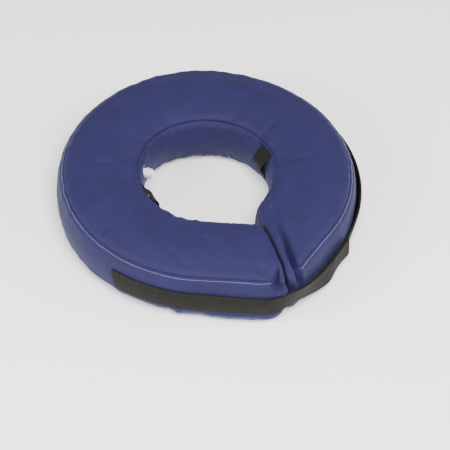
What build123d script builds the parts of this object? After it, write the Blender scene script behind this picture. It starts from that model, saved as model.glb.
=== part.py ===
"""Inflatable ring collar for a large dog, lying flat, split at -Y and hinged where it bends, at +Y.

Each half of the ring is a round part, PHI_JOIN to 180 degrees from the split, with a straight part
up to the split. A section is drawn on JOIN_PLANE, with the radius along its x axis and the height along its y axis.
Units are millimetres.
"""

import math
import os

from build123d import *

# The ring
WALL_R = 205.0  # outer wall at its fullest
HOLE_R = 85.0  # neck hole at its narrowest
OUT_SEAM_R = 196.0
IN_SEAM_R = 94.0
MID_R = 145.0
LOW_SEAM = 11.0
TOP_SEAM = 79.0
MID_Z = 45.0
HEIGHT = 90.0
FLAT_IN_R = 120.0
FLAT_OUT_R = 170.0
PHI_JOIN = 30.0
CLOTH = 1.0
BACK_GAP = 0.3  # each half stops this far from the back plane

# The ends at the split: x at the inner and outer wall, crown, radius of the outer corner.
# The left one is given as its mirror image, so its inner corner is past the middle.
RIGHT_END = (27.5, 14.5, 2.5, 22.0)
LEFT_END = (-24.0, -1.0, 3.0, 22.0)
END_IN_Y = -100.0
END_OUT_Y = -232.0
IN_ROUND = 12.0

# The air bladder
BLADDER_INSET = 6.0
BLADDER_WALL = 0.5
WELD_OUT = 3.0
WELD_T = 0.5

# Webbing, with its hook and loop tapes: lower and upper edges of each run, one web 31 wide
SEWN_EDGES = (26.0, 57.0)
CORNER_EDGES = (23.0, 54.0)
STRAP_EDGES = (17.0, 48.0)
BELT_EDGES = (21.0, 52.0)
HOOK_EDGES = (18.5, 46.5)
PILE_EDGES = (22.5, 50.5)
WEB_T = 1.8
BELT_T = 1.5
TAPE_T = 1.1
SEW_GAP = 0.1
BELT_OFF = 2.5  # the belt's inner face to the wall
STRAP_OFF = 7.8  # middle of the free strap to the wall, over the belt
SEWN_OFF = 1.0  # middle of the strap to the wall, where it is sewn
CORNER_R = 48.0
ANCHOR_D = 31.0
JOINT_GAP = 0.3
STRAP_CUT_1 = 35.0
STRAP_CUT_2 = 105.0
STRAP_END_PHI = 37.0
HOOK_START = 70.0
HOOK_END_PHI = 34.0
SEWN_END_PHI = 64.5
BELT_START_D = 40.0
REAR_BELT_PHI = 130.0

# Loops for the dog's own collar
LOOP_PHI = 90.0
LOOP_ARC = 17.0
LOOP_T = 1.5
LOOP_R = 78.6

# The zipper, at ZIP_Z on the inner wall of the right half
ZIP_Z = 20.0
ZIP_PHI_0 = 40.0
ZIP_PHI_1 = 132.0
SLOT_HALF = 5.0
SLIDER_PHI = 45.0
SLIDER_ARC = 6.0
PULL_L = 24.0
PULL_TILT = 14.0
PIN_R = 0.8
PIN_OFF = 4.5

# The valve, on the inner wall of the left half
VALVE_PHI = -125.0
VALVE_Z = 58.0
STEM_R = 6.5
BORE_R = 3.5
STEM_END_R = 78.0
PLUG_R = 3.2
PLUG_L = 9.0
CAP_T = 2.0

BULGE = WALL_R - OUT_SEAM_R
HALF_BAND = (TOP_SEAM - LOW_SEAM) / 2
BAND_R = (HALF_BAND**2 + BULGE**2) / (2 * BULGE)
CROWN_RUN = IN_SEAM_R - FLAT_IN_R
FOOT_R = (CROWN_RUN**2 + LOW_SEAM**2) / (2 * LOW_SEAM)
COS_J = math.cos(math.radians(PHI_JOIN))
SIN_J = math.sin(math.radians(PHI_JOIN))
TAN_J = math.tan(math.radians(PHI_JOIN))


def radial_plane(phi):
    """The upright plane through the ring's axis, phi degrees from the split, facing back towards it."""
    s = math.sin(math.radians(phi))
    c = math.cos(math.radians(phi))
    return Plane(origin=(0, 0, 0), x_dir=(s, -c, 0), z_dir=(-c, -s, 0))


JOIN_PLANE = radial_plane(PHI_JOIN)


def outer_wall(z, off):
    """A point off the outer wall, level with the wall's own height z."""
    a = math.asin((z - MID_Z) / BAND_R)
    return (WALL_R - BAND_R + (BAND_R + off) * math.cos(a), MID_Z + (BAND_R + off) * math.sin(a))


def inner_wall(z, off):
    """A point off the inner wall, on its neck side where off is positive."""
    a = math.asin((z - MID_Z) / BAND_R)
    return (HOLE_R + BAND_R - (BAND_R + off) * math.cos(a), MID_Z + (BAND_R + off) * math.sin(a))


def zip_wall(s, off):
    """A point s mm up the inner wall from the zipper's middle."""
    a = math.asin((ZIP_Z - MID_Z) / BAND_R) + s / BAND_R
    return (HOLE_R + BAND_R - (BAND_R + off) * math.cos(a), MID_Z + (BAND_R + off) * math.sin(a))


def foot(r_flat, side):
    """The middle of the arc between the flat bottom and a lower seam."""
    a = math.asin(abs(CROWN_RUN) / FOOT_R) / 2
    return (r_flat + side * FOOT_R * math.sin(a), FOOT_R * (1 - math.cos(a)))


def ring_section(inset):
    """The closed section of the ring, inset all round."""
    with BuildSketch(JOIN_PLANE) as section:
        with BuildLine():
            ThreePointArc((OUT_SEAM_R, TOP_SEAM), (MID_R, HEIGHT), (IN_SEAM_R, TOP_SEAM))
            ThreePointArc((IN_SEAM_R, TOP_SEAM), (HOLE_R, MID_Z), (IN_SEAM_R, LOW_SEAM))
            ThreePointArc((IN_SEAM_R, LOW_SEAM), foot(FLAT_IN_R, -1), (FLAT_IN_R, 0))
            Line((FLAT_IN_R, 0), (FLAT_OUT_R, 0))
            ThreePointArc((FLAT_OUT_R, 0), foot(FLAT_OUT_R, 1), (OUT_SEAM_R, LOW_SEAM))
            ThreePointArc((OUT_SEAM_R, LOW_SEAM), (WALL_R, MID_Z), (OUT_SEAM_R, TOP_SEAM))
        make_face()
        if inset > 0:
            offset(amount=-inset, kind=Kind.INTERSECTION)
    return section.sketch


def wall_y(radius, x):
    """Where the straight part of a wall of this radius is, at x."""
    return (x * SIN_J - radius) / COS_J


def half_plan(end, inset, back_x):
    """The right half in plan, a little wider than its walls, with the rounded and crowned end."""
    in_x, out_x, crown, out_round = end
    lean = (out_x - in_x) / (END_OUT_Y - END_IN_Y)
    shift = inset * math.hypot(1, lean)
    in_y = wall_y(HOLE_R - 1 + inset, in_x)
    out_y = wall_y(WALL_R + 1 - inset, out_x)
    inner = (in_x + shift + (in_y - END_IN_Y) * lean, in_y)
    outer = (out_x + shift + (out_y - END_OUT_Y) * lean, out_y)
    bow = ((inner[0] + outer[0]) / 2 - crown, (inner[1] + outer[1]) / 2)
    turn = ((HOLE_R - 1 + inset) * SIN_J, -(HOLE_R - 1 + inset) * COS_J)
    inner = (inner[0], wall_y(HOLE_R - 1 + inset, inner[0]))
    outer = (outer[0], wall_y(WALL_R + 1 - inset, outer[0]))
    with BuildSketch() as plan:
        with BuildLine():
            ThreePointArc(inner, bow, outer)
            Polyline(
                outer,
                (300, wall_y(WALL_R + 1 - inset, 300)),
                (300, 300),
                (back_x, 300),
                (back_x, -30),
                turn,
                inner,
            )
        make_face()
        fillet(plan.vertices().sort_by_distance((*inner, 0))[0], IN_ROUND - inset)
        fillet(plan.vertices().sort_by_distance((*outer, 0))[0], out_round - inset)
    return plan.sketch


def half_tube(end, inset, back_x=BACK_GAP):
    """The right half as one solid, inset from the outside of its cover."""
    section = ring_section(inset)
    plan = half_plan(end, inset, back_x)
    with BuildPart() as tube:
        revolve(section, axis=Axis.Z, revolution_arc=180.0 - PHI_JOIN)
        extrude(section, amount=WALL_R * TAN_J + 15)
        extrude(plan, amount=HEIGHT + 5, mode=Mode.INTERSECT)
    return tube.part


def skin(end, inset, thickness):
    """The right half's wall, open at the back."""
    with BuildPart() as wall:
        add(half_tube(end, inset))
        add(half_tube(end, inset + thickness, -5.0), mode=Mode.SUBTRACT)
    return wall.part


def outside_region():
    """Everything outside the tube's middle line, above the plan."""
    with BuildPart() as region:
        with BuildSketch(JOIN_PLANE) as block:
            with Locations((MID_R + 75, MID_Z)):
                Rectangle(150, 120)
        revolve(block.sketch, axis=Axis.Z, revolution_arc=180.0 - PHI_JOIN)
        extrude(block.sketch, amount=WALL_R * TAN_J + 60)
    return region.part


def end_region(end):
    """A box round the flat of the end, between its two rounded corners."""
    in_x, out_x, crown, out_round = end
    length = math.hypot(out_x - in_x, END_OUT_Y - END_IN_Y)
    tilt = math.degrees(math.atan2(END_OUT_Y - END_IN_Y, out_x - in_x))
    middle = ((in_x + out_x) / 2, (END_IN_Y + END_OUT_Y) / 2 + 3)
    with BuildPart() as region:
        with BuildSketch():
            with Locations(Location((*middle, 0), (0, 0, tilt))):
                Rectangle(length - IN_ROUND - 22 - 14, 20 + crown)
        extrude(amount=HEIGHT + 5)
    return region.part


def slice_between(solid, low, high):
    """What lies between two heights."""
    with BuildPart() as piece:
        add(solid)
        with Locations((0, 0, (low + high) / 2)):
            Box(900, 900, high - low, mode=Mode.INTERSECT)
    return piece.part


def strip(middle_r, low_off, high_off, edges, curve=BAND_R):
    """A webbing section whose middle_r is at its fullest, bowed like the outer wall."""
    z0, z1 = edges
    centre = middle_r - curve

    def at(z, off):
        a = math.asin((z - MID_Z) / curve)
        return (centre + (curve + off) * math.cos(a), MID_Z + (curve + off) * math.sin(a))

    z_mid = (z0 + z1) / 2
    with BuildSketch(JOIN_PLANE) as section:
        with BuildLine():
            ThreePointArc(at(z0, low_off), at(z_mid, low_off), at(z1, low_off))
            Line(at(z1, low_off), at(z1, high_off))
            ThreePointArc(at(z1, high_off), at(z_mid, high_off), at(z0, high_off))
            Line(at(z0, high_off), at(z0, low_off))
        make_face()
    return section.sketch


def ribbon(section, straight, from_phi, to_phi):
    """A strip run straight towards the split and round the ring, on the right half."""
    start = max(from_phi, PHI_JOIN)
    with BuildPart() as band:
        revolve(
            section.rotate(Axis.Z, start - PHI_JOIN),
            axis=Axis.Z,
            revolution_arc=to_phi - start,
        )
        if straight > 0:
            extrude(section, amount=straight)
    return band.part


def swept_wall(points, phi_0, phi_1):
    """A section drawn point by point on the inner wall, turned from phi_0 to phi_1."""
    with BuildPart() as piece:
        with BuildSketch(radial_plane(phi_0)):
            with BuildLine():
                Polyline(*points, close=True)
            make_face()
        revolve(axis=Axis.Z, revolution_arc=phi_1 - phi_0)
    return piece.part


def zip_strip(s0, s1, off0, off1, phi_0=ZIP_PHI_0, phi_1=ZIP_PHI_1):
    """A strip along the zipper, from s0 to s1 up the wall and off0 to off1 off it."""
    steps = [s0 + (s1 - s0) * k / 4 for k in range(5)]
    low = [zip_wall(s, off0) for s in steps]
    high = [zip_wall(s, off1) for s in reversed(steps)]
    return swept_wall(low + high, phi_0, phi_1)


def mirrored(solid):
    """The same piece on the left half."""
    return mirror(solid, about=Plane.YZ)


def save(solid, label):
    solid.label = label
    export_step(solid, f"parts/{label}.step")


os.makedirs("parts", exist_ok=True)

# The fabric cover of each half, as five panels
outside = outside_region()


def cover_panels(end):
    """The top, bottom, outer, inner and end panels of a half, drawn as the right half."""
    cover = skin(end, 0.0, CLOTH)
    end_box = end_region(end)
    band_zone = slice_between(cover, LOW_SEAM, TOP_SEAM)
    with BuildPart() as outer_band:
        add(band_zone)
        add(outside, mode=Mode.INTERSECT)
        add(end_box, mode=Mode.SUBTRACT)
    with BuildPart() as inner_band:
        add(band_zone)
        add(outside, mode=Mode.SUBTRACT)
        add(end_box, mode=Mode.SUBTRACT)
    with BuildPart() as end_panel:
        add(band_zone)
        add(end_box, mode=Mode.INTERSECT)
    top = slice_between(cover, TOP_SEAM, HEIGHT + 1)
    bottom = slice_between(cover, -1, LOW_SEAM)
    return top, bottom, outer_band.part, inner_band.part, end_panel.part


right_top, right_bottom, right_outer, right_inner, right_end = cover_panels(RIGHT_END)
left_top, left_bottom, left_outer, left_inner, left_end = cover_panels(LEFT_END)

save(right_top, "right_top_panel")
save(mirrored(left_top), "left_top_panel")
save(right_bottom, "right_bottom_panel")
save(mirrored(left_bottom), "left_bottom_panel")
save(right_outer, "right_outer_band")
save(mirrored(left_outer), "left_outer_band")
save(right_end, "right_end_panel")
save(mirrored(left_end), "left_end_panel")

# The right inner band, with the zipper's slot
with BuildPart() as right_inner_band:
    add(right_inner)
    add(zip_strip(-SLOT_HALF, SLOT_HALF, -3, 3), mode=Mode.SUBTRACT)
save(right_inner_band.part, "right_inner_band")

# The left inner band, with the valve's hole
VALVE_OUT = (
    -math.sin(math.radians(VALVE_PHI)),
    math.cos(math.radians(VALVE_PHI)),
    0,
)
VALVE_UP = (0, 0, 1)
VALVE_ACROSS = (VALVE_OUT[1], -VALVE_OUT[0], 0)
VALVE_PLANE = Plane(origin=(0, 0, VALVE_Z), x_dir=VALVE_ACROSS, z_dir=VALVE_OUT)


def valve_rod(radius, from_r, to_r):
    """A round rod on the valve's axis, between two distances from the ring's axis."""
    with BuildPart() as rod:
        with BuildSketch(VALVE_PLANE.offset(-from_r)):
            Circle(radius)
        extrude(amount=from_r - to_r)
    return rod.part


with BuildPart() as left_inner_band:
    add(mirrored(left_inner))
    add(valve_rod(STEM_R + 1.5, 100, 70), mode=Mode.SUBTRACT)
save(left_inner_band.part, "left_inner_band")

# The air bladder of each half, an upper and a lower sheet welded all round


def bladder_sheets(end):
    """The upper and lower sheets of a half, drawn as the right half."""
    bladder = skin(end, BLADDER_INSET, BLADDER_WALL)
    weld = skin(end, WELD_OUT, BLADDER_INSET - WELD_OUT)
    with BuildPart() as upper:
        add(slice_between(bladder, MID_Z, HEIGHT))
        add(slice_between(weld, MID_Z, MID_Z + WELD_T))
    with BuildPart() as lower:
        add(slice_between(bladder, 0, MID_Z))
        add(slice_between(weld, MID_Z - WELD_T, MID_Z))
    return upper.part, lower.part


right_upper, right_lower = bladder_sheets(RIGHT_END)
left_upper, left_lower = bladder_sheets(LEFT_END)
save(right_upper, "right_bladder_upper")
save(right_lower, "right_bladder_lower")
save(mirrored(left_lower), "left_bladder_lower")

with BuildPart() as left_bladder_upper:
    add(mirrored(left_upper))
    add(valve_rod(BORE_R, 110, 70), mode=Mode.SUBTRACT)
save(left_bladder_upper.part, "left_bladder_upper")

# The valve: its base on the bladder, the stem through the cover, the binding, the tether and the plug
inside_5 = mirrored(half_tube(LEFT_END, BLADDER_INSET - 1.0))
inside_6 = mirrored(half_tube(LEFT_END, BLADDER_INSET))

with BuildPart() as valve_base:
    add(valve_rod(12.0, 105, 80))
    add(inside_5, mode=Mode.INTERSECT)
    add(inside_6, mode=Mode.SUBTRACT)
    add(valve_rod(BORE_R, 110, 70), mode=Mode.SUBTRACT)
save(valve_base.part, "valve_base")

with BuildPart() as valve_stem:
    add(valve_rod(STEM_R, 100, STEM_END_R))
    add(inside_5, mode=Mode.SUBTRACT)
    add(valve_rod(BORE_R, 110, 70), mode=Mode.SUBTRACT)
save(valve_stem.part, "valve_stem")


def wall_patch(z0, z1, off0, off1, phi_0, phi_1):
    """A thin patch that follows the inner wall, on the right half."""
    steps = [z0 + (z1 - z0) * k / 6 for k in range(7)]
    low = [inner_wall(z, off0) for z in steps]
    high = [inner_wall(z, off1) for z in reversed(steps)]
    return swept_wall(low + high, phi_0, phi_1)


with BuildPart() as valve_hole_binding:
    add(mirrored(wall_patch(45, 71, SEW_GAP, 1.1, -VALVE_PHI - 10, -VALVE_PHI + 10)))
    add(valve_rod(STEM_R + 4.5, 110, 60), mode=Mode.INTERSECT)
    add(valve_rod(STEM_R + 1.5, 110, 60), mode=Mode.SUBTRACT)
save(valve_hole_binding.part, "valve_hole_binding")

with BuildPart() as valve_tether:
    add(valve_rod(STEM_R + 1.2, 82.6, 81.0))
    add(valve_rod(STEM_R + 0.1, 84, 80), mode=Mode.SUBTRACT)
    with BuildSketch(VALVE_PLANE.offset(-82.6)):
        with Locations((0, STEM_R + 3.2)):
            Rectangle(3.0, 4.4)
    extrude(amount=0.8)
    with BuildSketch(VALVE_PLANE.offset(-82.6)):
        with Locations((0, STEM_R + 5.0)):
            Rectangle(3.0, 0.8)
    extrude(amount=82.6 - STEM_END_R + CAP_T + 1.0)
save(valve_tether.part, "valve_tether")

with BuildPart() as valve_plug:
    add(valve_rod(PLUG_R, STEM_END_R + PLUG_L, STEM_END_R - 1.0))
    add(valve_rod(STEM_R, STEM_END_R - JOINT_GAP, STEM_END_R - JOINT_GAP - CAP_T))
    with BuildSketch(VALVE_PLANE.offset(JOINT_GAP + CAP_T - STEM_END_R)):
        Rectangle(9.0, 2.6)
    extrude(amount=3.0)
save(valve_plug.part, "valve_plug")

# The belt that runs round the outer wall, with its loop pile facing out
straight_run = WALL_R * TAN_J - BELT_START_D
PILE_OFF = BELT_OFF + BELT_T + SEW_GAP
belt_section = strip(WALL_R, BELT_OFF, BELT_OFF + BELT_T, BELT_EDGES)
pile_section = strip(WALL_R, PILE_OFF, PILE_OFF + TAPE_T, PILE_EDGES)


def cut_back(solid, side):
    """Trims a piece of the ring to its own side of the back plane."""
    with BuildPart() as piece:
        add(solid)
        with Locations((side * (250 + BACK_GAP), 0, MID_Z)):
            Box(500, 900, 200, mode=Mode.INTERSECT)
    return piece.part


save(cut_back(ribbon(belt_section, straight_run, 0, 180), 1), "right_belt")
save(cut_back(ribbon(pile_section, straight_run - 3, 0, 180), 1), "right_belt_loop_pile")
rear_belt = cut_back(ribbon(belt_section, 0, REAR_BELT_PHI, 180), 1)
rear_pile = cut_back(ribbon(pile_section, 0, REAR_BELT_PHI + 2, 180), 1)
save(mirrored(rear_belt), "left_rear_belt")
save(mirrored(rear_pile), "left_rear_belt_loop_pile")

# The closure strap: the part sewn to the left half, then three lengths that peel off the right half
sewn_section = strip(WALL_R, SEW_GAP, SEW_GAP + WEB_T, SEWN_EDGES)
sewn_run = (WALL_R + SEWN_OFF) * TAN_J - ANCHOR_D - JOINT_GAP / 2
save(mirrored(ribbon(sewn_section, sewn_run, 0, SEWN_END_PHI)), "closure_strap_sewn_length")

CORNER_X = (STRAP_OFF - SEWN_OFF) / (2 * SIN_J)
CORNER_Y = -(WALL_R + (SEWN_OFF + STRAP_OFF) / 2 - CORNER_R) / COS_J
STRAP_CURVE = BAND_R + STRAP_OFF
HALF_T = WEB_T / 2


def corner_plane(angle):
    """The upright plane through the corner's own axis, angle degrees from straight out, looking left."""
    s = math.sin(math.radians(angle))
    c = math.cos(math.radians(angle))
    return Plane(origin=(CORNER_X, CORNER_Y, 0), x_dir=(s, -c, 0), z_dir=(-c, -s, 0))


def free_strap(from_s, to_s, low_off, high_off, edges):
    """The closed strap between two distances along its free length."""
    corner_axis = Axis((CORNER_X, CORNER_Y, 0), (0, 0, 1))
    lead = lead_length()
    bend = math.radians(2 * PHI_JOIN) * CORNER_R
    flat_to = lead + bend + flat_length()
    outline = strip(CORNER_R, low_off, high_off, edges, STRAP_CURVE)
    flat = JOIN_PLANE.to_local_coords(outline)
    with BuildPart() as strap:
        if from_s < lead:
            extrude(corner_plane(-PHI_JOIN).from_local_coords(flat), amount=lead - from_s)
        if from_s < lead + bend and to_s > lead:
            a0 = -PHI_JOIN + math.degrees((max(from_s, lead) - lead) / CORNER_R)
            a1 = -PHI_JOIN + math.degrees((min(to_s, lead + bend) - lead) / CORNER_R)
            revolve(
                corner_plane(a0).from_local_coords(flat),
                axis=corner_axis,
                revolution_arc=a1 - a0,
            )
        if from_s < flat_to and to_s > lead + bend:
            s0 = max(from_s, lead + bend) - lead - bend
            s1 = min(to_s, flat_to) - lead - bend
            start = corner_plane(PHI_JOIN).offset(-s1)
            extrude(start.from_local_coords(flat), amount=s1 - s0)
        if to_s > flat_to:
            arc = strip(WALL_R + STRAP_OFF, low_off, high_off, edges, STRAP_CURVE)
            turn = math.degrees((to_s - flat_to) / (WALL_R + STRAP_OFF))
            revolve(arc, axis=Axis.Z, revolution_arc=turn)
    return strap.part


def lead_length():
    """The straight strap from its anchor to the start of the corner."""
    along_join = (WALL_R + SEWN_OFF) * TAN_J - ANCHOR_D
    corner = (CORNER_X + (WALL_R + SEWN_OFF) * SIN_J) / COS_J - CORNER_R * TAN_J
    return corner - along_join


def flat_length():
    """The straight strap from the corner to the round part of the ring."""
    return ((WALL_R + STRAP_OFF) * SIN_J - CORNER_X) / COS_J - CORNER_R * TAN_J


def strap_end(phi):
    """The distance along the free strap at which it reaches phi."""
    bend = math.radians(2 * PHI_JOIN) * CORNER_R
    arc = math.radians(phi - PHI_JOIN) * (WALL_R + STRAP_OFF)
    return lead_length() + bend + flat_length() + arc


half_gap = JOINT_GAP / 2
end_s = strap_end(STRAP_END_PHI)
hook_s = strap_end(HOOK_END_PHI)
hook_low = -HALF_T - SEW_GAP - TAPE_T + 0.1
hook_high = -HALF_T - SEW_GAP + 0.05
save(
    free_strap(half_gap, STRAP_CUT_1 - half_gap, -HALF_T, HALF_T, CORNER_EDGES),
    "closure_strap_corner_length",
)
save(
    free_strap(STRAP_CUT_1 + half_gap, STRAP_CUT_2 - half_gap, -HALF_T, HALF_T, STRAP_EDGES),
    "closure_strap_middle_length",
)
save(
    free_strap(STRAP_CUT_2 + half_gap, end_s, -HALF_T, HALF_T, STRAP_EDGES),
    "closure_strap_end_length",
)
save(
    free_strap(HOOK_START, STRAP_CUT_2 - half_gap, hook_low, hook_high, HOOK_EDGES),
    "closure_hook_tape_middle",
)
save(
    free_strap(STRAP_CUT_2 + half_gap, hook_s, hook_low, hook_high, HOOK_EDGES),
    "closure_hook_tape_end",
)

# A loop on each inner wall for the dog's own collar
with BuildPart() as collar_loop:
    with BuildSketch(radial_plane(LOOP_PHI - LOOP_ARC / 2)) as loop_section:
        with BuildLine():
            ThreePointArc(inner_wall(34, 0.1), inner_wall(37, 0.1), inner_wall(40, 0.1))
            ThreePointArc(inner_wall(40, 0.1), (LOOP_R, 55), inner_wall(70, 0.1))
            ThreePointArc(inner_wall(70, 0.1), inner_wall(73, 0.1), inner_wall(76, 0.1))
            Line(inner_wall(76, 0.1), inner_wall(76, 0.1 + LOOP_T))
            ThreePointArc(
                inner_wall(76, 0.1 + LOOP_T),
                inner_wall(73, 0.1 + LOOP_T),
                inner_wall(70.5, 0.1 + LOOP_T),
            )
            ThreePointArc(
                inner_wall(70.5, 0.1 + LOOP_T),
                (LOOP_R - LOOP_T, 55),
                inner_wall(39.5, 0.1 + LOOP_T),
            )
            ThreePointArc(
                inner_wall(39.5, 0.1 + LOOP_T),
                inner_wall(37, 0.1 + LOOP_T),
                inner_wall(34, 0.1 + LOOP_T),
            )
            Line(inner_wall(34, 0.1 + LOOP_T), inner_wall(34, 0.1))
        make_face()
    revolve(axis=Axis.Z, revolution_arc=LOOP_ARC)
save(collar_loop.part, "right_collar_loop")
save(mirrored(collar_loop.part), "left_collar_loop")

# The zipper: two tapes behind the cover, two rows of teeth, the end stops
save(zip_strip(1.6, 8.0, -1.7, -1.1), "zipper_upper_tape")
save(zip_strip(-8.0, -1.6, -1.7, -1.1), "zipper_lower_tape")
save(zip_strip(0.05, 1.6, -1.7, 0.8, ZIP_PHI_0 + 2, ZIP_PHI_1 - 2), "zipper_upper_teeth")
save(zip_strip(-1.6, -0.05, -1.7, 0.8, ZIP_PHI_0 + 2, ZIP_PHI_1 - 2), "zipper_lower_teeth")
save(zip_strip(-2.6, 2.6, -1.0, 1.6, ZIP_PHI_0 + 0.4, ZIP_PHI_0 + 1.8), "zipper_front_stop")
save(zip_strip(-2.6, 2.6, -1.0, 1.6, ZIP_PHI_1 - 1.8, ZIP_PHI_1 - 0.4), "zipper_rear_stop")

# The zipper's slider and pull
SLIDER_0 = SLIDER_PHI - SLIDER_ARC / 2
SLIDER_1 = SLIDER_PHI + SLIDER_ARC / 2
ZIP_A = math.asin((ZIP_Z - MID_Z) / BAND_R)
SLIDER_S = math.sin(math.radians(SLIDER_PHI))
SLIDER_C = math.cos(math.radians(SLIDER_PHI))


def zip_point(s, off):
    """A point in space at the slider, s mm up the wall and off mm off it."""
    r, z = zip_wall(s, off)
    return (r * SLIDER_S, -r * SLIDER_C, z)


NECKWARD = (-math.cos(ZIP_A) * SLIDER_S, math.cos(ZIP_A) * SLIDER_C, math.sin(ZIP_A))
UPWALL = (math.sin(ZIP_A) * SLIDER_S, -math.sin(ZIP_A) * SLIDER_C, math.cos(ZIP_A))
PIN_PLANE = Plane(origin=zip_point(0, PIN_OFF), x_dir=NECKWARD, z_dir=UPWALL)

with BuildPart() as zipper_slider:
    add(zip_strip(-4.4, 4.4, 1.2, 2.5, SLIDER_0, SLIDER_1))
    add(zip_strip(3.0, 4.4, -0.6, 1.3, SLIDER_0, SLIDER_1))
    add(zip_strip(-4.4, -3.0, -0.6, 1.3, SLIDER_0, SLIDER_1))
    with BuildSketch(PIN_PLANE.offset(-4.0)):
        with Locations((-0.2, 0)):
            Rectangle(3.6, 3.4)
    extrude(amount=1.0)
    with BuildSketch(PIN_PLANE.offset(3.0)):
        with Locations((-0.2, 0)):
            Rectangle(3.6, 3.4)
    extrude(amount=1.0)
    with BuildSketch(PIN_PLANE.offset(-3.2)):
        Circle(PIN_R)
    extrude(amount=6.4)
save(zipper_slider.part, "zipper_slider")

with BuildPart() as zipper_pull:
    with BuildSketch(PIN_PLANE.offset(-2.6)):
        Circle(PIN_R + 0.65)
        with Locations(Location((0, 0, 0), (0, 0, -PULL_TILT))):
            Rectangle(1.3, PULL_L, align=(Align.CENTER, Align.MIN))
        Circle(PIN_R + 0.08, mode=Mode.SUBTRACT)
    extrude(amount=5.2)
save(zipper_pull.part, "zipper_pull")
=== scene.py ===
"""Inflatable ring collar for a dog: padded cover, closure strap, belt, zipper and valve.

Lengths are in millimetres until a mesh is made. A place on the ring is an angle from the split at -Y,
positive towards +X. Each half is drawn as the right half, and the left one is mirrored.
"""

import random
from math import asin, atan2, copysign, cos, degrees, dist, exp, hypot, pi, radians, sin, sqrt, tan

import bmesh
import bpy
import numpy as np
from mathutils import Matrix, Vector, noise


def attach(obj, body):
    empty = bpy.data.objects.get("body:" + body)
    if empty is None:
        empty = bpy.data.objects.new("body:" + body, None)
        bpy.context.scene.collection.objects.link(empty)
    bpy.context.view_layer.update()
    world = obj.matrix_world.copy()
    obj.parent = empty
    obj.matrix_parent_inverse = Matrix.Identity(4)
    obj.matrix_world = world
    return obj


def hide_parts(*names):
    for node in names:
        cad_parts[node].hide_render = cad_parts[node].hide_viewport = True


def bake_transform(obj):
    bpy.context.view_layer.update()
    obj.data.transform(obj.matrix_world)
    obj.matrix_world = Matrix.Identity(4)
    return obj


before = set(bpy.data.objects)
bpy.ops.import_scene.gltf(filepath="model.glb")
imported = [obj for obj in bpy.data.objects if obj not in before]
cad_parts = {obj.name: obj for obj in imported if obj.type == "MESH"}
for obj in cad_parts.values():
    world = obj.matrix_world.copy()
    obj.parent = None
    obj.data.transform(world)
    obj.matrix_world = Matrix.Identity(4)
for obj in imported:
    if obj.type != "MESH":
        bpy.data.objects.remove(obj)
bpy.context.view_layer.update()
random.seed(11)

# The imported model's ring
WALL_R = 205.0
HOLE_R = 85.0
OUT_SEAM_R = 196.0
IN_SEAM_R = 94.0
LOW_SEAM = 11.0
TOP_SEAM = 79.0
MID_R = 145.0
MID_Z = 45.0
HEIGHT = 90.0
FLAT_IN_R = 120.0
FLAT_OUT_R = 170.0
JOIN = radians(30)
SIN_J = sin(JOIN)
COS_J = cos(JOIN)
TAN_J = tan(JOIN)
LOW_SEAM_R = 199.5  # the lower outer seam, which lies further out than the upper one
BULGE = WALL_R - OUT_SEAM_R
BAND_R = (((TOP_SEAM - LOW_SEAM) / 2) ** 2 + BULGE**2) / (2 * BULGE)
HALF_WIDTH = (WALL_R - HOLE_R) / 2
HALF_HEIGHT = HEIGHT / 2
HALF_TURN = radians(150)  # of the round part of each half
END_IN_Y = -100.0
END_OUT_Y = -232.0

# The ends: x at the inner and outer wall, and the rounding of the rim and of the outer corner. That corner is
# rounder low down, by "low" between the heights in "from".
ENDS = {
    "right": {"x": (26.6, 4.8), "rim": 6.0, "outer": 12.0, "low": 24.0, "from": (82, 40)},
    "left": {"x": (-24.0, -1.5), "rim": 7.5, "outer": 14.0, "low": 22.0, "from": (66, 48)},
}
INNER_CORNER = 12.0
END_BULGE = 1.0

# Webbing
SEWN_EDGES = (26.0, 57.0)
BELT_EDGES = (21.0, 52.0)
PILE_EDGES = (22.5, 50.5)
SEWN_OFF = 1.0
STRAP_OFF = 7.8
BELT_OFF = 3.25
CORNER_R = 48.0
ANCHOR_D = 31.0
SEWN_END_PHI = 64.5
STRAP_END_PHI = 36.0
BELT_START_D = 40.0
REAR_BELT_PHI = 130.0
PEEL_CORNER = 35.0  # hinges of the free strap, from its anchor
PEEL_END = 105.0
WEB_T = 1.8
WEB_PITCH = 2.2  # of the rows along the strap
SLANT_ROWS = 8
HOOK_BEHIND = 1.52  # from the strap's middle to the hook tape's
CLOSE_OFF = 0.9  # of the belt's middle, where it lies on the wall

# Zipper and valve
ZIP_Z = 20.0
ZIP_FROM = 40.0
ZIP_TO = 132.0
SLOT_HALF = 5.0
VALVE_PHI = 125.0
VALVE_Z = 58.0
VALVE_GAP = 8.4  # radius of the hole round the valve
RING_R = 9.6  # of the bound edge round that hole

# Loops for the dog's own collar: heights of their ends, half their width, and how far they stand off
LOOP_FROM = 33.5
LOOP_TO = 76.5
LOOP_HALF_ARC = radians(8.5)
LOOP_ARCH = 6.3

STITCH_D = 3.5
DEGREE_RUN = 3.6  # millimetres to a degree on the outer wall
SIGN = {"left": -1, "right": 1}


def step(t):
    """0 to 1, eased at both ends."""
    t = min(max(t, 0.0), 1.0)
    return t * t * (3 - 2 * t)


def bump(t, low, high):
    """A smooth rise and fall between low and high."""
    if t <= low or t >= high:
        return 0.0
    return sin(pi * (t - low) / (high - low)) ** 2


def bell(t, width):
    """A smooth peak at 0 that has faded at about twice the width."""
    return exp(-((t / width) ** 2))


def uneven(x, y, z):
    """Smooth noise, about -1 to 1, that changes over a length of about 1."""
    return noise.noise(Vector((x, y, z)))


def rounded(t):
    """A quarter circle's rise, from 0 at 0 to 1 at 1 and beyond."""
    return sqrt(max(1 - (1 - min(t, 1)) ** 2, 0))


# ---- materials


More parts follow.
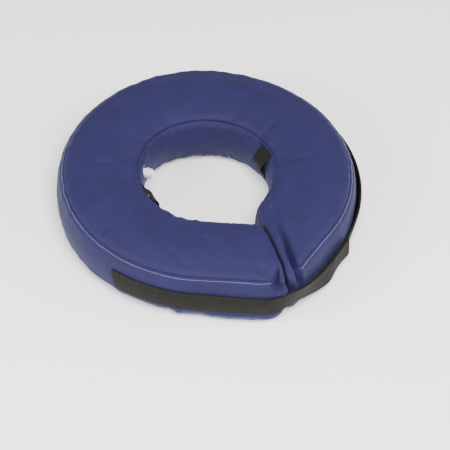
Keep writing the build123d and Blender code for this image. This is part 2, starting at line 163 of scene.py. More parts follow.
class Recipe:
    """A new material, with short ways to add nodes to it."""

    def __init__(self, name):
        self.mat = bpy.data.materials.new(name)
        self.mat.use_nodes = True
        self.nodes = self.mat.node_tree.nodes
        self.links = self.mat.node_tree.links
        self.shader = self.nodes["Principled BSDF"]

    def fill(self, node, links, values):
        """Links some of a node's inputs and sets others, by name."""
        for key, source in links.items():
            self.links.new(source, node.inputs[key])
        for key, value in values.items():
            node.inputs[key.replace("_", " ")].default_value = value
        return node

    def add(self, kind, links=None, **values):
        """A new node."""
        return self.fill(self.nodes.new("ShaderNode" + kind), links or {}, values)

    def finish(self, links, **values):
        """The material, with its shader filled in."""
        self.fill(self.shader, links, values)
        return self.mat

    def position(self):
        """The place in space, in metres."""
        return self.nodes.new("ShaderNodeTexCoord").outputs["Object"]

    def cloth_place(self):
        """The place in the cloth, in metres."""
        node = self.nodes.new("ShaderNodeUVMap")
        node.uv_map = "UVMap"
        return node.outputs["UV"]

    def noise(self, vector, scale, detail, roughness=0.5):
        links = {"Vector": vector}
        values = {"Scale": scale, "Detail": detail, "Roughness": roughness}
        return self.add("TexNoise", links, **values).outputs["Fac"]

    def ramp(self, source, stops):
        node = self.add("ValToRGB", {"Fac": source})
        elements = node.color_ramp.elements
        elements[0].position, elements[0].color = stops[0][0], (*stops[0][1], 1)
        elements[1].position, elements[1].color = stops[-1][0], (*stops[-1][1], 1)
        for position, colour in stops[1:-1]:
            elements.new(position).color = (*colour, 1)
        return node.outputs["Color"]

    def combine(self, operation, a, b):
        """An operation on a value and another value or a number."""
        node = self.nodes.new("ShaderNodeMath")
        node.operation = operation
        self.links.new(a, node.inputs[0])
        if isinstance(b, float):
            node.inputs[1].default_value = b
        else:
            self.links.new(b, node.inputs[1])
        return node.outputs[0]

    def mix(self, first, *others):
        """The sum of some values, each times its share."""
        total = self.combine("MULTIPLY", *first)
        for other in others:
            total = self.combine("ADD", total, self.combine("MULTIPLY", *other))
        return total

    def yarns(self, vector, axis, pitch, phase=0.0):
        """A sine wave, 0 to 1, that repeats every pitch metres along an axis of the UV map."""
        values = {"Scale": 2 * pi / (20 * pitch), "Distortion": 0.0, "Phase_Offset": phase}
        node = self.add("TexWave", {"Vector": vector}, **values)
        node.wave_type = "BANDS"
        node.bands_direction = axis
        node.wave_profile = "SIN"
        return node.outputs["Fac"]

    def relief(self, height, strength, distance, over=None, invert=False):
        """A bump, over an earlier one where there is one."""
        links = {"Height": height} if over is None else {"Height": height, "Normal": over}
        node = self.add("Bump", links, Strength=strength, Distance=distance)
        node.invert = invert
        return node.outputs["Normal"]

    def between(self, source, low, high):
        return self.add("MapRange", {"Value": source}, To_Min=low, To_Max=high).outputs["Result"]


def cloth_material(name, dark, mid, light, pitch, sheen=0.3, depth=0.00018, tint=(0.5, 0.55, 0.9)):
    """A plain weave: two sets of yarns at right angles, uneven dye, fine creasing and a dull sheen."""
    r = Recipe(name)
    uv, position = r.cloth_place(), r.position()
    weave = r.combine("MULTIPLY", r.yarns(uv, "X", pitch), r.yarns(uv, "Y", pitch, 1.3))
    cloud = r.noise(position, 22.0, 5.0, 0.6)
    grain = r.noise(position, 900.0, 2.0)
    total = r.mix((cloud, 0.62), (weave, 0.22), (grain, 0.22))
    colour = r.ramp(total, [(0.25, dark), (0.47, mid), (0.72, light)])
    creased = r.relief(r.noise(position, 60.0, 4.0, 0.55), 0.35, 0.0022, r.relief(weave, 0.5, depth))
    return r.finish(
        {"Base Color": colour, "Normal": creased, "Roughness": r.between(cloud, 0.67, 0.83)},
        Sheen_Weight=sheen,
        Sheen_Roughness=0.4,
        Sheen_Tint=(*tint, 1),
        Specular_IOR_Level=0.25,
    )


def webbing_material(name, dark, light, strength):
    """Nylon webbing: ribs across it, finer threads along it, dust and wear."""
    r = Recipe(name)
    uv = r.cloth_place()
    ribs = r.yarns(uv, "X", 0.0021)
    threads = r.yarns(uv, "Y", 0.0011)
    wear = r.noise(r.position(), 55.0, 6.0, 0.65)
    total = r.mix((ribs, 0.42 * strength), (threads, 0.1), (wear, 0.6))
    colour = r.ramp(total, [(0.2, dark), (0.8, light)])
    normal = r.relief(threads, 0.5, 0.00015, r.relief(ribs, 0.8, 0.0005 * strength))
    return r.finish(
        {"Base Color": colour, "Normal": normal},
        Roughness=0.7,
        Sheen_Weight=0.01,
        Sheen_Roughness=0.45,
        Sheen_Tint=(0.75, 0.75, 0.65, 1),
        Specular_IOR_Level=0.12,
    )


def fuzzy_material(name, dark, light, scale, depth):
    """Loop pile or hooks: a dense field of small dots."""
    r = Recipe(name)
    position = r.position()
    cells = r.add("TexVoronoi", {"Vector": position}, Scale=scale, Randomness=0.8)
    dots = cells.outputs["Distance"]
    patch = r.noise(position, 70.0, 5.0)
    colour = r.ramp(r.mix((dots, 0.7), (patch, 0.5)), [(0.2, light), (0.8, dark)])
    return r.finish(
        {"Base Color": colour, "Normal": r.relief(dots, 0.9, depth, invert=True)},
        Roughness=0.9,
        Sheen_Weight=0.04,
        Sheen_Tint=(0.8, 0.8, 0.7, 1),
    )


def hard_material(name, dark, light, rough, metallic=0.0, coat=0.0, scale=120.0, through=0.0):
    """Moulded vinyl or enamelled metal, with faint mottling and handling marks."""
    r = Recipe(name)
    mottle = r.noise(r.position(), scale, 5.0, 0.6)
    return r.finish(
        {
            "Base Color": r.ramp(mottle, [(0.3, dark), (0.7, light)]),
            "Normal": r.relief(mottle, 0.25, 0.0002),
            "Roughness": r.between(mottle, rough - 0.07, rough + 0.1),
        },
        Metallic=metallic,
        Coat_Weight=coat,
        Coat_Roughness=0.15,
        Subsurface_Weight=through,
    )


# Cloths: the dark, middle and light colours and the yarns' pitch
BLUES = (0.0054, 0.0044, 0.031), (0.0074, 0.006, 0.0412), (0.0104, 0.0087, 0.0535)
BINDINGS = (0.012, 0.014, 0.06), (0.02, 0.024, 0.09), (0.03, 0.036, 0.13)
TAPES = (0.01, 0.012, 0.05), (0.018, 0.02, 0.075), (0.03, 0.034, 0.11)
PALES = (0.18, 0.2, 0.36), (0.25, 0.28, 0.46), (0.34, 0.37, 0.56)
DARKS = (0.01, 0.01, 0.01), (0.02, 0.02, 0.02), (0.035, 0.035, 0.03)
WORN = (0.0105, 0.0099, 0.0074)
canvas = cloth_material("blue canvas", *BLUES, 0.0007, sheen=0.06)
binding = cloth_material("binding tape", *BINDINGS, 0.0005)
zipper_cloth = cloth_material("zipper tape", *TAPES, 0.0005)
pale_thread = cloth_material("pale thread", *PALES, 0.0004, depth=0.0001)
dark_thread = cloth_material("dark thread", *DARKS, 0.0004, sheen=0.02, tint=(0.7, 0.7, 0.6))
webbing = webbing_material("black webbing", (0.0028, 0.0027, 0.0019), WORN, 1.0)
smooth_webbing = webbing_material("black webbing back", (0.0036, 0.0034, 0.0024), WORN, 0.35)
pile = fuzzy_material("loop pile", (0.004, 0.004, 0.003), (0.018, 0.0175, 0.0145), 1500.0, 0.0006)
hooks = fuzzy_material("hook tape", (0.006, 0.006, 0.006), (0.04, 0.04, 0.036), 1100.0, 0.0008)
clear = hard_material("bladder vinyl", (0.55, 0.6, 0.66), (0.68, 0.73, 0.78), 0.3, coat=0.2, through=0.1)
vinyl = hard_material("valve vinyl", (0.55, 0.57, 0.57), (0.74, 0.76, 0.76), 0.4, through=0.15)
enamel = hard_material("blue enamel", (0.012, 0.014, 0.04), (0.03, 0.034, 0.09), 0.35, metallic=0.3, coat=0.4)
coil = hard_material("zipper coil", (0.012, 0.014, 0.05), (0.03, 0.034, 0.1), 0.45, scale=300.0)


# ---- meshes


def make_piece(name, points, faces, mat, uvs):
    """A smooth mesh from points in millimetres. uvs are one pair of metres for each point."""
    mesh = bpy.data.meshes.new(name)
    mesh.from_pydata([tuple(c * 0.001 for c in p) for p in points], [], faces)
    layer = mesh.uv_layers.new(name="UVMap")
    for loop in mesh.loops:
        layer.data[loop.index].uv = uvs[loop.vertex_index]
    mesh.materials.append(mat)
    for polygon in mesh.polygons:
        polygon.use_smooth = True
    mesh.validate()
    obj = bpy.data.objects.new(name, mesh)
    bpy.context.collection.objects.link(obj)
    return obj


class Pile:
    """Collects points and faces for one piece."""

    def __init__(self):
        self.points = []
        self.faces = []
        self.uvs = []

    def grid(self, rows, uvs, flip=False, closed=False):
        """Joins rows of points with quads."""
        width = len(rows[0])
        for i, (row, row_uvs) in enumerate(zip(rows, uvs)):
            near = len(self.points)
            far = near + width
            self.points.extend(row)
            self.uvs.extend(row_uvs)
            if i == len(rows) - 1:
                break
            for j in range(width if closed else width - 1):
                k = (j + 1) % width
                quad = (near + j, near + k, far + k, far + j)
                self.faces.append(quad[::-1] if flip else quad)

    def fan(self, row, centre, flip=False):
        """Joins a row to a centre with triangles."""
        base, n = len(self.points), len(row)
        self.points += [*row, centre]
        self.uvs += [(0, 0)] * (n + 1)
        for j in range(n):
            tri = (base + j, base + (j + 1) % n, base + n)
            self.faces.append(tri[::-1] if flip else tri)

    def make(self, name, mat, slot_name):
        return make_piece(name, self.points, self.faces, mat, self.uvs)


def weld(obj):
    """Joins points that lie on each other."""
    work = bmesh.new()
    work.from_mesh(obj.data)
    bmesh.ops.remove_doubles(work, verts=work.verts, dist=0.00005)
    work.to_mesh(obj.data)
    work.free()


def blend_back(obj):
    """Bakes the transform of a piece that crosses the back with both halves into its mesh."""
    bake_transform(obj)


# ---- the ring's section


def arc_through(a, m, b, count):
    """Points on the arc from a through m to b, less than half a circle."""
    ax, ay, bx, by, cx, cy = *a, *m, *b
    aa, bb, cc = ax**2 + ay**2, bx**2 + by**2, cx**2 + cy**2
    d = 2 * (ax * (by - cy) + bx * (cy - ay) + cx * (ay - by))
    ux = (aa * (by - cy) + bb * (cy - ay) + cc * (ay - by)) / d
    uy = (aa * (cx - bx) + bb * (ax - cx) + cc * (bx - ax)) / d
    radius = hypot(ax - ux, ay - uy)
    start, end = atan2(ay - uy, ax - ux), atan2(cy - uy, cx - ux)
    turn = (end - start + pi) % (2 * pi) - pi
    angles = [start + turn * t for t in np.linspace(0, 1, count)]
    return [(ux + radius * cos(angle), uy + radius * sin(angle)) for angle in angles]


def run_lengths(points):
    """The run along a polyline at each of its points."""
    return np.r_[0, np.cumsum(np.linalg.norm(np.diff(points, axis=0), axis=1))]


def resample(points, count):
    """Points along a polyline, closer together near its ends."""
    p = np.array(points)
    lengths = run_lengths(p)
    t = np.arange(count + 1) / count
    s = lengths[-1] * (0.42 * t + 0.58 * (1 - np.cos(pi * t)) / 2)
    return np.c_[np.interp(s, lengths, p[:, 0]), np.interp(s, lengths, p[:, 1])], s, lengths[-1]


OUTER_ARC = arc_through((OUT_SEAM_R, TOP_SEAM), (WALL_R, MID_Z), (LOW_SEAM_R, LOW_SEAM), 200)


def wall_drop(z):
    """How far inside its widest place the outer wall is at a height."""
    r, heights = zip(*OUTER_ARC[::-1])
    return WALL_R - float(np.interp(z, heights, r))


def foot_curve(flat_r, seam_r):
    """The underside from the edge of its flat part up to a lower seam."""
    width = seam_r - flat_r
    radius = (width**2 + LOW_SEAM**2) / (2 * LOW_SEAM)
    run = np.linspace(0, asin(abs(width) / radius), 40)
    return [(flat_r + copysign(radius * sin(a), width), radius * (1 - cos(a))) for a in run]


def build_section():
    """The closed section, seam by seam: top, outer band, bottom and inner band."""
    underside = foot_curve(FLAT_OUT_R, LOW_SEAM_R)[::-1] + foot_curve(FLAT_IN_R, IN_SEAM_R)
    runs = [
        ("top", arc_through((IN_SEAM_R, TOP_SEAM), (MID_R, HEIGHT), (OUT_SEAM_R, TOP_SEAM), 200), 38),
        ("outer", OUTER_ARC, 30),
        ("bottom", underside, 30),
        ("inner", arc_through((IN_SEAM_R, LOW_SEAM), (HOLE_R, MID_Z), (IN_SEAM_R, TOP_SEAM), 200), 40),
    ]
    places, ranges = [], {}
    for name, run, count in runs:
        points, s, length = resample(run, count)
        ranges[name] = (len(places), len(places) + count)
        for k in range(count):
            places.append({"panel": name, "r": points[k][0], "z": points[k][1], "s": s[k], "length": length})
    return places, ranges


SECTION, RANGES = build_section()
COUNT = len(SECTION)
SEAM_R = {
    "top": (IN_SEAM_R, OUT_SEAM_R),
    "outer": (OUT_SEAM_R, OUT_SEAM_R),
    "bottom": (OUT_SEAM_R, IN_SEAM_R),
    "inner": (IN_SEAM_R, IN_SEAM_R),
}


def on_ring(r, phi):
    """A point of the round part."""
    return r * sin(phi), -r * cos(phi)


def on_straight(r, d):
    """A point d past the join, towards the split."""
    x, y = on_ring(r, JOIN)
    return x - d * COS_J, y - d * SIN_J


def run_to_end(side, r, back):
    """How far past the join the end is, at a radius, less a distance back from the end."""
    x0, x1 = ENDS[side]["x"]
    ux, uy = x1 - x0, END_OUT_Y - END_IN_Y
    length = hypot(ux, uy)
    nx, ny = -uy / length, ux / length
    px, py = on_ring(r, JOIN)
    return (back - ((px - x0) * nx + (py - END_IN_Y) * ny)) / (-COS_J * nx - SIN_J * ny)


def end_corner(end, r, z):
    """The rounding of an end's corner at a place on the section."""
    if r <= MID_R:
        return INNER_CORNER
    high, low = end["from"]
    return end["outer"] + end["low"] * step((high - z) / (high - low))


def end_reach(side, place):
    """How far from the end the rounding starts, for a place on the section."""
    end = ENDS[side]
    across = ((place["r"] - MID_R) / HALF_WIDTH) ** 4
    up = ((place["z"] - MID_Z) / HALF_HEIGHT) ** 4
    corner = end_corner(end, place["r"], place["z"])
    return (across * corner + up * end["rim"]) / (across + up + 1e-9)


RING_STEPS = [radians(a) for a in np.linspace(180, 30, 151)]
STRAIGHT_STEPS = [1 - (1 - t) ** 1.7 for t in np.linspace(0, 1, 50)[1:]]
CAP_STEPS = [radians(a) for a in range(6, 91, 7)]
FACE_STEPS = (0.94, 0.86, 0.75, 0.62, 0.48, 0.34, 0.2, 0.08)
STATIONS = [("ring", a) for a in RING_STEPS] + [("straight", f) for f in STRAIGHT_STEPS]
STATIONS += [("cap", c) for c in CAP_STEPS] + [("face", s) for s in FACE_STEPS]
FACE_START = len(RING_STEPS) + len(STRAIGHT_STEPS) + len(CAP_STEPS) - 1
LAST_STRAIGHT = len(RING_STEPS) + len(STRAIGHT_STEPS) - 1
MIDWAY = 90  # the station where the front pieces meet the back ones


def plain_point(side, station, place):
    """A point of the smooth form, drawn as the right half, and its run along the ring from the join."""
    kind, value = station
    r, z = place["r"], place["z"]
    if kind == "ring":
        return (*on_ring(r, value), z), value - JOIN, 0.0
    end = ENDS[side]
    reach = end_reach(side, place)
    if kind == "straight":
        d = value * run_to_end(side, r, reach)
        return (*on_straight(r, d), z), 0.0, d
    corner = end_corner(end, r, z)
    close = 1 - cos(value) if kind == "cap" else 1.0
    scale_r = 1 - corner * 0.45 / HALF_WIDTH * close
    scale_z = 1 - end["rim"] / HALF_HEIGHT * close
    back = reach * (1 - sin(value)) if kind == "cap" else 0.0
    if kind == "face":
        scale_r *= value
        scale_z *= value
        back = -END_BULGE * (1 - value**2)
    new_r = MID_R + (r - MID_R) * scale_r
    new_z = MID_Z + (z - MID_Z) * scale_z
    d = run_to_end(side, new_r, back)
    return (*on_straight(new_r, d), new_z), 0.0, d


# Folds. Each point of one has its place, in space or in plan, a height and a width. One in plan fades in
# between the two heights after it.
TOP_FADE = (62, 78)
EDGE_FADE = (22, 12)
FOLDS = [
    # the valley behind the right end, down to the strap, with a long slope on its far side
    ([(43, -106, 88, -3.0, 5.4), (34, -145, 90, -8.0, 5.6), (30, -168, 89, -12.0, 5.4),
      (27, -182, 87, -14.0, 5.2), (25.2, -194, 85, -15.0, 5.0), (24.2, -205, 81.5, -15.5, 4.9),
      (24, -213, 77, -15.5, 4.7), (24.4, -218, 70, -14.5, 4.4), (25.4, -220.5, 62, -13.5, 3.8),
      (26.4, -221.5, 54, -7.0, 3.0), (27, -221.5, 47, 0.0, 2.8)], None),
    ([(43, -150, 89, -1.0, 9.0), (37, -175, 87, -2.4, 9.0), (32, -192, 85, -2.0, 7.0),
      (29, -205, 81, 0.0, 5.0)], None),
    # the ridge in front of it
    ([(24, -135, 90, 0.8, 4.5), (20, -160, 89, 2.4, 4.3), (18, -180, 87, 3.0, 4.0),
      (16.2, -199, 84, 3.0, 3.8), (15, -213, 79, 2.4, 3.6), (15.5, -221, 70, 2.0, 3.2),
      (18, -224.5, 60, 1.5, 3.0), (20, -225, 54, 0.0, 3.0)], None),
    ([(33, -207, 77, 1.4, 3.2), (32, -213, 69, 2.8, 2.8), (31, -217.5, 60, 2.8, 2.6),
      (30.5, -219, 52, 1.6, 2.4), (30.5, -219, 46, 0.0, 2.4)], None),
    # the drop-shaped pinch where the left end's stitching stops, and the rolled lip around it
    ([(4.0, -199, 86, 0.0, 2.2), (2.0, -204, 85.5, -6.0, 3.0), (-0.6, -209.5, 84, -12.0, 4.8),
      (-3.6, -214.5, 81.5, -16.0, 7.0), (-6.6, -219.4, 78.5, -18.0, 9.4), (-8.6, -223.5, 73.5, -17.5, 10.4),
      (-9.6, -226, 67.5, -12.0, 8.4), (-10.2, -227, 63, -4.0, 5.6)], None),
    ([(6.5, -194, 86, 0.0, 2.8), (6.6, -205, 84.5, 1.6, 2.4), (5.8, -213, 82, 3.0, 2.5),
      (4.4, -220.5, 78.5, 4.4, 2.8), (2.2, -226.5, 74, 5.2, 3.0), (-1, -229.5, 67, 4.8, 3.1),
      (-8, -229.5, 60.5, 3.0, 3.0), (-16, -226, 57.5, 0.8, 3.0)], None),
    ([(-9, -205, 84, 0.8, 4.0), (-13.5, -214, 81, 1.4, 3.6), (-17, -220, 75, 1.0, 3.6)], None),
    ([(7, -150, 90, 0.0, 5.0), (4, -168, 90, -1.8, 4.6), (2, -180, 89, -2.2, 4.2),
      (1, -191, 87, -1.4, 3.8)], None),
    # a hollow in the left half's top
    ([(-27, -180, 0.0, 5.0), (-21, -197, -2.6, 4.6), (-21, -209, -2.6, 4.2),
      (-22, -217, -0.8, 4.0)], TOP_FADE),
    # the lower front edge: fuller towards the split, with a pucker at the side
    ([(-98, -171, 0.5, 8.0), (-84, -181, 3.2, 9.0), (-60, -195, 4.0, 9.0), (-35, -209, 3.8, 9.0),
      (-16, -220, 2.0, 8.0), (-6, -226, 0.0, 7.0)], (24, 13)),
    ([(-114, -150, 2.2, 7.0), (-120, -158, 2.2, 7.0)], EDGE_FADE),
    ([(-125, -143, -2.0, 4.5), (-131, -150, -2.0, 4.5)], EDGE_FADE),
]

# Creases in the tops: the width of each, then x, y and height along it
CREASES = [
    (4.0, (-143, 70, 0.0), (-130, 65, -2.0), (-114, 58, -1.0)),
    (4.0, (-155, 2, 0.0), (-143, 7, 1.6), (-129, 3, 0.3)),
    (4.2, (-113, -108, 0.0), (-110, -128, -2.3), (-108, -150, -0.6)),
    (4.6, (-102, -108, 0.0), (-99, -128, 1.5), (-97, -148, 0.3)),
    (3.4, (-132, -116, 0.0), (-138, -134, -1.8), (-142, -142, -1.5)),
    (3.2, (-152, -112, 0.0), (-149, -124, -1.4), (-150, -131, -1.2)),
    (4.5, (-62, -120, -1.5), (-66, -140, -1.0), (-66, -158, 0.0)),
    (4.5, (62, -96, -1.6), (68, -118, -1.4), (72, -140, 0.0)),
    (4.5, (110, -40, -1.4), (130, -46, -0.9), (150, -50, 0.0)),
    (4.5, (112, 30, -1.4), (134, 38, -0.8), (150, 44, 0.0)),
]
FOLDS += [([(*point, width) for point in line], TOP_FADE) for width, *line in CREASES]


def fold_depths(points):
    """The folds' summed height at each point."""
    total = np.zeros(len(points))
    for line, fade in FOLDS:
        rows = np.array(line, float)
        axes = rows.shape[1] - 2
        lengths = run_lengths(rows[:, :axes])
        s = np.arange(0, lengths[-1] + 0.6, 1.2)
        *place, height, width = (np.interp(s, lengths, column) for column in rows.T)
        dense = np.stack(place, axis=1)
        near = np.where(np.linalg.norm(points[:, :axes] - dense.mean(0), axis=1) < 100)[0]
        if not len(near):
            continue
        gaps = np.linalg.norm(points[near][:, None, :axes] - dense[None], axis=2)
        closest = gaps.argmin(axis=1)
        lift = height[closest] * np.exp(-((gaps.min(axis=1) / width[closest]) ** 2))
        if fade:
            t = np.clip((points[near][:, 2] - fade[0]) / (fade[1] - fade[0]), 0, 1)
            lift = lift * t * t * (3 - 2 * t)
        total[near] += lift
    return total


def seam_height(side, place, along):
    """The seam's valley with the cloth's rise beside it, and the puckers across it."""
    to_start, to_end = place["s"], place["length"] - place["s"]
    d = min(to_start, to_end)
    first, second = SEAM_R[place["panel"]]
    seam_r = first if to_start < to_end else second
    run = along[0] * seam_r - along[1]
    if side == "left":
        run = 2 * HALF_TURN * seam_r - run
    at_outer = seam_r > MID_R
    upper = place["z"] > MID_Z
    seam = (1 if at_outer else 0) + (2 if upper else 0)
    valley = -(3.2 if upper else 1.4) * exp(-d / 1.9) + 0.9 * bell(d - 9, 6)
    size = 1.0 if at_outer else 1.7
    fine = uneven(run / 6.0, d / 26.0, seam * 7.3)
    wide = uneven(run / 14.0, d / 40.0, 31.7 + seam * 5.1)
    pucker = size * (fine * 0.9 * exp(-d / 8.0) + wide * 1.5 * exp(-d / 17.0))
    if place["panel"] == "outer":
        valley -= 0.8 * bell(d - STITCH_D, 1.4)
    return valley + pucker


def softness(x, y, z):
    """The cloth's slow and quick unevenness."""
    slow = uneven(x / 75.0, y / 75.0, z / 60.0 + 3.3)
    quick = uneven(x / 24.0, y / 24.0, z / 24.0 + 9.1)
    return 1.3 * slow + 0.45 * quick


def outer_limit(side, z, phi, height):
    """Keeps the outer wall behind the webbing."""
    low, high = SEWN_EDGES
    if side == "left" and phi < SEWN_END_PHI + 1 and low - 2 < z < high + 2:
        return min(height, 0.0) * 0.3 - 0.35
    if side == "right" or phi > REAR_BELT_PHI - 4:
        return min(height, 1.2)
    return height


def inner_limit(side, z, phi, height):
    """Sinks the zipper's slot and the valve's hole in the inner wall, and keeps it behind the collar loop."""
    if side == "right" and ZIP_FROM - 3 < phi < ZIP_TO + 3:
        across = BAND_R * abs(asin((z - MID_Z) / BAND_R) - asin((ZIP_Z - MID_Z) / BAND_R))
        height *= step((across - SLOT_HALF) / 7)
        if ZIP_FROM < phi < ZIP_TO and across < SLOT_HALF:
            return -2.8
    if side == "left":
        gap = hypot(radians(phi - VALVE_PHI) * HOLE_R, z - VALVE_Z)
        height *= step((gap - 11) / 8)
        if gap < VALVE_GAP:
            return -3.0 * step((VALVE_GAP - gap) / 1.4)
    beside = max(radians(abs(phi - 90)) * HOLE_R - 13, 0)
    if hypot(beside, max(34 - z, z - 76, 0)) < 5:
        return min(height, 0.0)
    return height


def wall_limits(side, place, along, height):
    """The height at a place after what is sewn to the walls has been given its room."""
    phi = degrees(along[0]) + 30 if along[0] > 0 else 30 - along[1] / DEGREE_RUN
    if place["panel"] == "outer":
        return outer_limit(side, place["z"], phi, height)
    if place["panel"] == "inner":
        return inner_limit(side, place["z"], phi, height)
    return height


def smooth_form(side):
    """A half's smooth points, and each one's turn and straight run from the join."""
    plain = np.zeros((len(STATIONS), COUNT, 3))
    alongs = np.zeros((len(STATIONS), COUNT, 2))
    for i, station in enumerate(STATIONS):
        for j, place in enumerate(SECTION):
            point, turned, straight = plain_point(side, station, place)
            plain[i, j] = (point[0] * SIGN[side], point[1], point[2])
            alongs[i, j] = (turned, straight)
    return plain, alongs


def outward_normals(plain):
    """The direction out of the smooth form at each of its points."""
    lengthwise = np.gradient(plain, axis=0)
    around = np.roll(plain, -1, axis=1) - np.roll(plain, 1, axis=1)
    normals = np.cross(lengthwise, around)
    normals /= np.linalg.norm(normals, axis=2)[..., None] + 1e-12
    middle = len(RING_STEPS) // 2
    outermost, innermost = RANGES["outer"][0] + 15, RANGES["inner"][0] + 20
    outward = plain[middle, outermost] - plain[middle, innermost]
    return normals if np.dot(normals[middle, outermost], outward) > 0 else -normals


def left_limit(y):
    """The x of the left end's own line plus a little, which no point of that half passes."""
    x0, x1 = ENDS["left"]["x"]
    t = (y - END_IN_Y) / (END_OUT_Y - END_IN_Y)
    return np.where(y < -60, 3.5 - (x0 + (x1 - x0) * t), 1e3)


def kept_share(kind, value):
    """How much of the seams and the softness is kept at a station."""
    if kind == "cap":
        return 0.15 + 0.85 * cos(value) ** 1.5
    return 0.35 * value if kind == "face" else 1.0


def build_half(side):
    """All of a half's points after its seams, creases and folds, with their runs and outward directions."""
    plain, alongs = smooth_form(side)
    normals = outward_normals(plain)
    folds = fold_depths(plain.reshape(-1, 3)).reshape(plain.shape[:2])
    shaped = plain.copy()
    for i, (kind, value) in enumerate(STATIONS):
        keep = kept_share(kind, value)
        fold_keep = 0.4 if kind == "face" else 1.0
        for j, place in enumerate(SECTION):
            x, y, z = plain[i, j]
            height = (seam_height(side, place, alongs[i, j]) + softness(x, y, z)) * keep
            if side == "right" and y < 0:  # the ridge at its end shows no seam
                height *= 0.25 + 0.75 * step((x - 17) / 12)
            height = wall_limits(side, place, alongs[i, j], height + folds[i, j] * fold_keep)
            shaped[i, j] = plain[i, j] + normals[i, j] * height
    shaped[..., 2] = np.maximum(shaped[..., 2], 0.3)
    if side == "left":
        shaped[..., 0] = np.minimum(shaped[..., 0], left_limit(shaped[..., 1]))
    return shaped, alongs, normals


halves = {side: build_half(side) for side in ("left", "right")}


def panel_rows(side, panel, first, last):
    """Rows of a panel between two stations, with their places in the cloth."""
    grid, alongs, _ = halves[side]
    start, end = RANGES[panel]
    columns = [c % COUNT for c in range(start, end + 1)]
    rows, uvs = [], []
    for i in range(first, last + 1):
        rows.append([tuple(grid[i, c]) for c in columns])
        row_uvs = []
        for n, c in enumerate(columns):
            s = SECTION[c]["s"] if n < len(columns) - 1 else SECTION[(c - 1) % COUNT]["length"]
            turned, straight = alongs[i, c]
            run = turned * MID_R - straight
            if side == "left":
                run = 2 * HALF_TURN * MID_R - run
            row_uvs.append((run * 0.001, s * 0.001))
        uvs.append(row_uvs)
    return rows, uvs


NODE_OF = {"top": "top_panel", "outer": "outer_band", "bottom": "bottom_panel", "inner": "inner_band"}
for panel in RANGES:
    back = Pile()
    for side in ("left", "right"):
        rows, uvs = panel_rows(side, panel, MIDWAY, FACE_START)
        front = Pile()
        front.grid(rows, uvs, flip=side == "right")
        piece = front.make(f"{side}_front_{panel}_cover", canvas, "blue_canvas")
        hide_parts(f"{side}_{NODE_OF[panel]}")
        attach(piece, f"{side}_half")
        rows, uvs = panel_rows(side, panel, 0, MIDWAY)
        back.grid(rows, uvs, flip=side == "right")
    piece = back.make(f"back_{panel}_cover", canvas, "blue_canvas")
    weld(piece)
    blend_back(piece)

for side in ("left", "right"):
    grid = halves[side][0]
    end = Pile()
    rows = [[tuple(p) for p in grid[i]] for i in range(FACE_START, len(STATIONS))]
    uvs = [[(p[1] * 0.001, p[2] * 0.001) for p in row] for row in rows]
    end.grid(rows, uvs, flip=side == "right", closed=True)
    centre = tuple(grid[-1].mean(axis=0))
    end.fan(rows[-1], centre, flip=side == "right")
    piece = end.make(f"{side}_end_cover", canvas, "blue_canvas")
    weld(piece)
    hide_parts(f"{side}_end_panel")
    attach(piece, f"{side}_half")


# ---- air bladder, inside the cover


BLADDER_STATIONS = [("ring", radians(a)) for a in np.linspace(180, 30, 91)]
BLADDER_STATIONS += [("straight", f) for f in np.linspace(0, 1, 18)[1:]]
BLADDER_STATIONS += [("cap", radians(c)) for c in np.linspace(10, 90, 8)]
BLADDER_MIDWAY = 54
BLADDER_WIDTH = 46.0  # half of it, without the welded edge
BLADDER_RISE = 29.0
BLADDER_CAP = 22.0  # length of its rounded end
BLADDER_BACK = 14.0  # from the cover's end
WELD_EDGE = 5.0


def bladder_point(side, kind, value, a, upper):
    """A point of a half's vinyl sheet, at an angle over its section."""
    across, rise = cos(a), sin(a) ** 0.8
    capped = cos(value) if kind == "cap" else None
    grown = 1.0 if capped is None else capped**0.6 + 0.02
    r = MID_R + BLADDER_WIDTH * across * (1.0 if capped is None else 0.55 + 0.45 * capped)
    z = MID_Z + (1 if upper else -1) * (0.4 + BLADDER_RISE * rise * grown)
    if kind == "ring":
        x, y = on_ring(r, value)
    else:
        reach = BLADDER_CAP * (1 - sin(value)) if kind == "cap" else BLADDER_CAP
        share = value if kind == "straight" else 1.0
        x, y = on_straight(r, share * run_to_end(side, r, BLADDER_BACK + reach))
    return x, y, z + 0.8 * uneven(x / 14.0, y / 14.0, z / 30.0) * rise


def bladder_half(side, upper):
    """A half's upper or lower vinyl sheet: a slacker form well inside the cover, with its welded edge."""
    rows, uvs = [], []
    for kind, value in BLADDER_STATIONS:
        points = [bladder_point(side, kind, value, a, upper) for a in np.linspace(0, pi, 25)]
        row_uvs = [(x * 0.001, y * 0.001) for x, y, _ in points]
        row = [(x * SIGN[side], y, z) for x, y, z in points]
        edge = []
        for (x, y, z), out in ((row[0], 1), (row[-1], -1)):
            scale = 1 + out * WELD_EDGE / hypot(x, y)
            edge.append((x * scale, y * scale, z))
        rows.append([edge[0], *row, edge[1]])
        uvs.append([row_uvs[0], *row_uvs, row_uvs[-1]])
    return rows, uvs


for upper in (True, False):
    level = "upper" if upper else "lower"
    back = Pile()
    for side in ("left", "right"):
        rows, uvs = bladder_half(side, upper)
        flip = (side == "right") == upper
        front = Pile()
        front.grid(rows[BLADDER_MIDWAY:], uvs[BLADDER_MIDWAY:], flip=flip)
        piece = front.make(f"{side}_front_bladder_{level}", clear, "bladder_vinyl")
        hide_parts(f"{side}_bladder_{level}")
        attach(piece, f"{side}_half")
        back.grid(rows[: BLADDER_MIDWAY + 1], uvs[: BLADDER_MIDWAY + 1], flip=flip)
    piece = back.make(f"back_bladder_{level}", clear, "bladder_vinyl")
    weld(piece)
    blend_back(piece)


# ---- stitching


